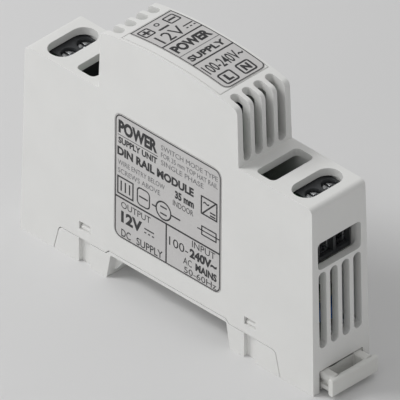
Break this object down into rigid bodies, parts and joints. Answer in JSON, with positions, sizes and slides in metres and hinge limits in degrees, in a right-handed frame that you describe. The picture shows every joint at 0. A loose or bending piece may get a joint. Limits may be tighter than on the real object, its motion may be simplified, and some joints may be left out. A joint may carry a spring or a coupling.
{
  "type": "din rail power supply",
  "caption": "Slim stepped enclosure with vents, screw terminals at both ends, an arched front plate and a sprung clip for a 35 mm top-hat rail.",
  "frame": {"origin": "middle of the rail seat, the flat face that rests on the rail", "axes": "+X along the module towards the sprung clip and the mains input, +Z away from the rail, +Y completes a right-handed frame; the rating label is on the -Y side"},
  "size_m": [0.0953, 0.0176, 0.0669],
  "materials": {
    "housing_plastic": "fine moulded texture, matt",
    "clip_plastic": "moulded, satin",
    "label_film": "printed polyester film",
    "terminal_plastic": "moulded, satin",
    "plated_steel": "zinc plated",
    "tinned_brass": "tin plated",
    "spring_steel": "drawn wire",
    "board_laminate": "solder resist",
    "capacitor_sleeve": "shrunk sleeve",
    "ferrite": "sintered, ground faces",
    "bobbin_plastic": "moulded",
    "enamelled_copper": "enamelled wire",
    "insulating_tape": "polyester tape",
    "film_capacitor_case": "moulded case",
    "ceramic_coating": "dipped coating",
    "fuse_body": "glass tube with metal caps",
    "heat_sink_aluminium": "rolled sheet",
    "moulded_resin": "moulded resin"
  },
  "bodies": {
    "housing": {"base": "housing_plastic", "bridge_rectifier": "moulded_resin", "bulk_capacitor": "capacitor_sleeve", "choke_core": "ferrite", "choke_winding_line": "enamelled_copper", "choke_winding_neutral": "enamelled_copper", "circuit_board": "board_laminate", "clip_spring": "spring_steel", "control_ic": "moulded_resin", "front_label": "label_film", "front_plate": "housing_plastic", "fuse": "fuse_body", "housing_hood": "housing_plastic", "input_pole_1_tag": "tinned_brass", "input_pole_2_tag": "tinned_brass", "input_terminal_block": "terminal_plastic", "inrush_thermistor": "moulded_resin", "optocoupler": "moulded_resin", "output_capacitor_1": "capacitor_sleeve", "output_capacitor_2": "capacitor_sleeve", "output_capacitor_3": "capacitor_sleeve", "output_inductor_core": "ferrite", "output_inductor_winding": "enamelled_copper", "output_pole_1_tag": "tinned_brass", "output_pole_2_tag": "tinned_brass", "output_rectifier": "moulded_resin", "output_rectifier_heat_sink": "heat_sink_aluminium", "output_rectifier_screw": "plated_steel", "output_terminal_block": "terminal_plastic", "rating_label": "label_film", "safety_capacitor": "ceramic_coating", "switching_transistor": "moulded_resin", "switching_transistor_heat_sink": "heat_sink_aluminium", "switching_transistor_screw": "plated_steel", "transformer_bobbin": "bobbin_plastic", "transformer_core_input": "ferrite", "transformer_core_output": "ferrite", "transformer_tape": "insulating_tape", "transformer_winding": "enamelled_copper", "varistor": "ceramic_coating", "x_capacitor": "film_capacitor_case"},
    "rail_clip": {"din_clip": "clip_plastic"},
    "input_pole_1_cage": {"input_pole_1_cage": "plated_steel"},
    "input_pole_1_screw": {"input_pole_1_screw": "plated_steel"},
    "input_pole_2_cage": {"input_pole_2_cage": "plated_steel"},
    "input_pole_2_screw": {"input_pole_2_screw": "plated_steel"},
    "output_pole_1_cage": {"output_pole_1_cage": "plated_steel"},
    "output_pole_1_screw": {"output_pole_1_screw": "plated_steel"},
    "output_pole_2_cage": {"output_pole_2_cage": "plated_steel"},
    "output_pole_2_screw": {"output_pole_2_screw": "plated_steel"}
  },
  "joints": [
    {"name": "clip_slide", "type": "slide", "parent": "housing", "child": "rail_clip", "axis": [1, 0, 0], "range_m": [0, 0.0035], "stiffness_N_per_m": 1500, "springref_m": -0.003, "deforming": ["clip_spring"]},
    {"name": "output_pole_1_screw_turn", "type": "hinge", "parent": "housing", "child": "output_pole_1_screw", "pos_m": [-0.03795, -0.0011, 0.04], "axis": [0, 0, -1], "range_deg": [0, 2401]},
    {"name": "output_pole_1_cage_rise", "type": "slide", "parent": "housing", "child": "output_pole_1_cage", "axis": [0, 0, 1], "range_m": [0, 0.003]},
    {"name": "output_pole_2_screw_turn", "type": "hinge", "parent": "housing", "child": "output_pole_2_screw", "pos_m": [-0.03795, 0.0039, 0.04], "axis": [0, 0, -1], "range_deg": [0, 2401]},
    {"name": "output_pole_2_cage_rise", "type": "slide", "parent": "housing", "child": "output_pole_2_cage", "axis": [0, 0, 1], "range_m": [0, 0.003]},
    {"name": "input_pole_1_screw_turn", "type": "hinge", "parent": "housing", "child": "input_pole_1_screw", "pos_m": [0.03795, -0.0011, 0.04], "axis": [0, 0, -1], "range_deg": [0, 2401]},
    {"name": "input_pole_1_cage_rise", "type": "slide", "parent": "housing", "child": "input_pole_1_cage", "axis": [0, 0, 1], "range_m": [0, 0.003]},
    {"name": "input_pole_2_screw_turn", "type": "hinge", "parent": "housing", "child": "input_pole_2_screw", "pos_m": [0.03795, 0.0039, 0.04], "axis": [0, 0, -1], "range_deg": [0, 2401]},
    {"name": "input_pole_2_cage_rise", "type": "slide", "parent": "housing", "child": "input_pole_2_cage", "axis": [0, 0, 1], "range_m": [0, 0.003]}
  ],
  "couplings": [
    {"joint": "output_pole_1_screw_turn", "follows": "output_pole_1_cage_rise", "rad_per_m": 13963},
    {"joint": "output_pole_2_screw_turn", "follows": "output_pole_2_cage_rise", "rad_per_m": 13963},
    {"joint": "input_pole_1_screw_turn", "follows": "input_pole_1_cage_rise", "rad_per_m": 13963},
    {"joint": "input_pole_2_screw_turn", "follows": "input_pole_2_cage_rise", "rad_per_m": 13963}
  ]
}
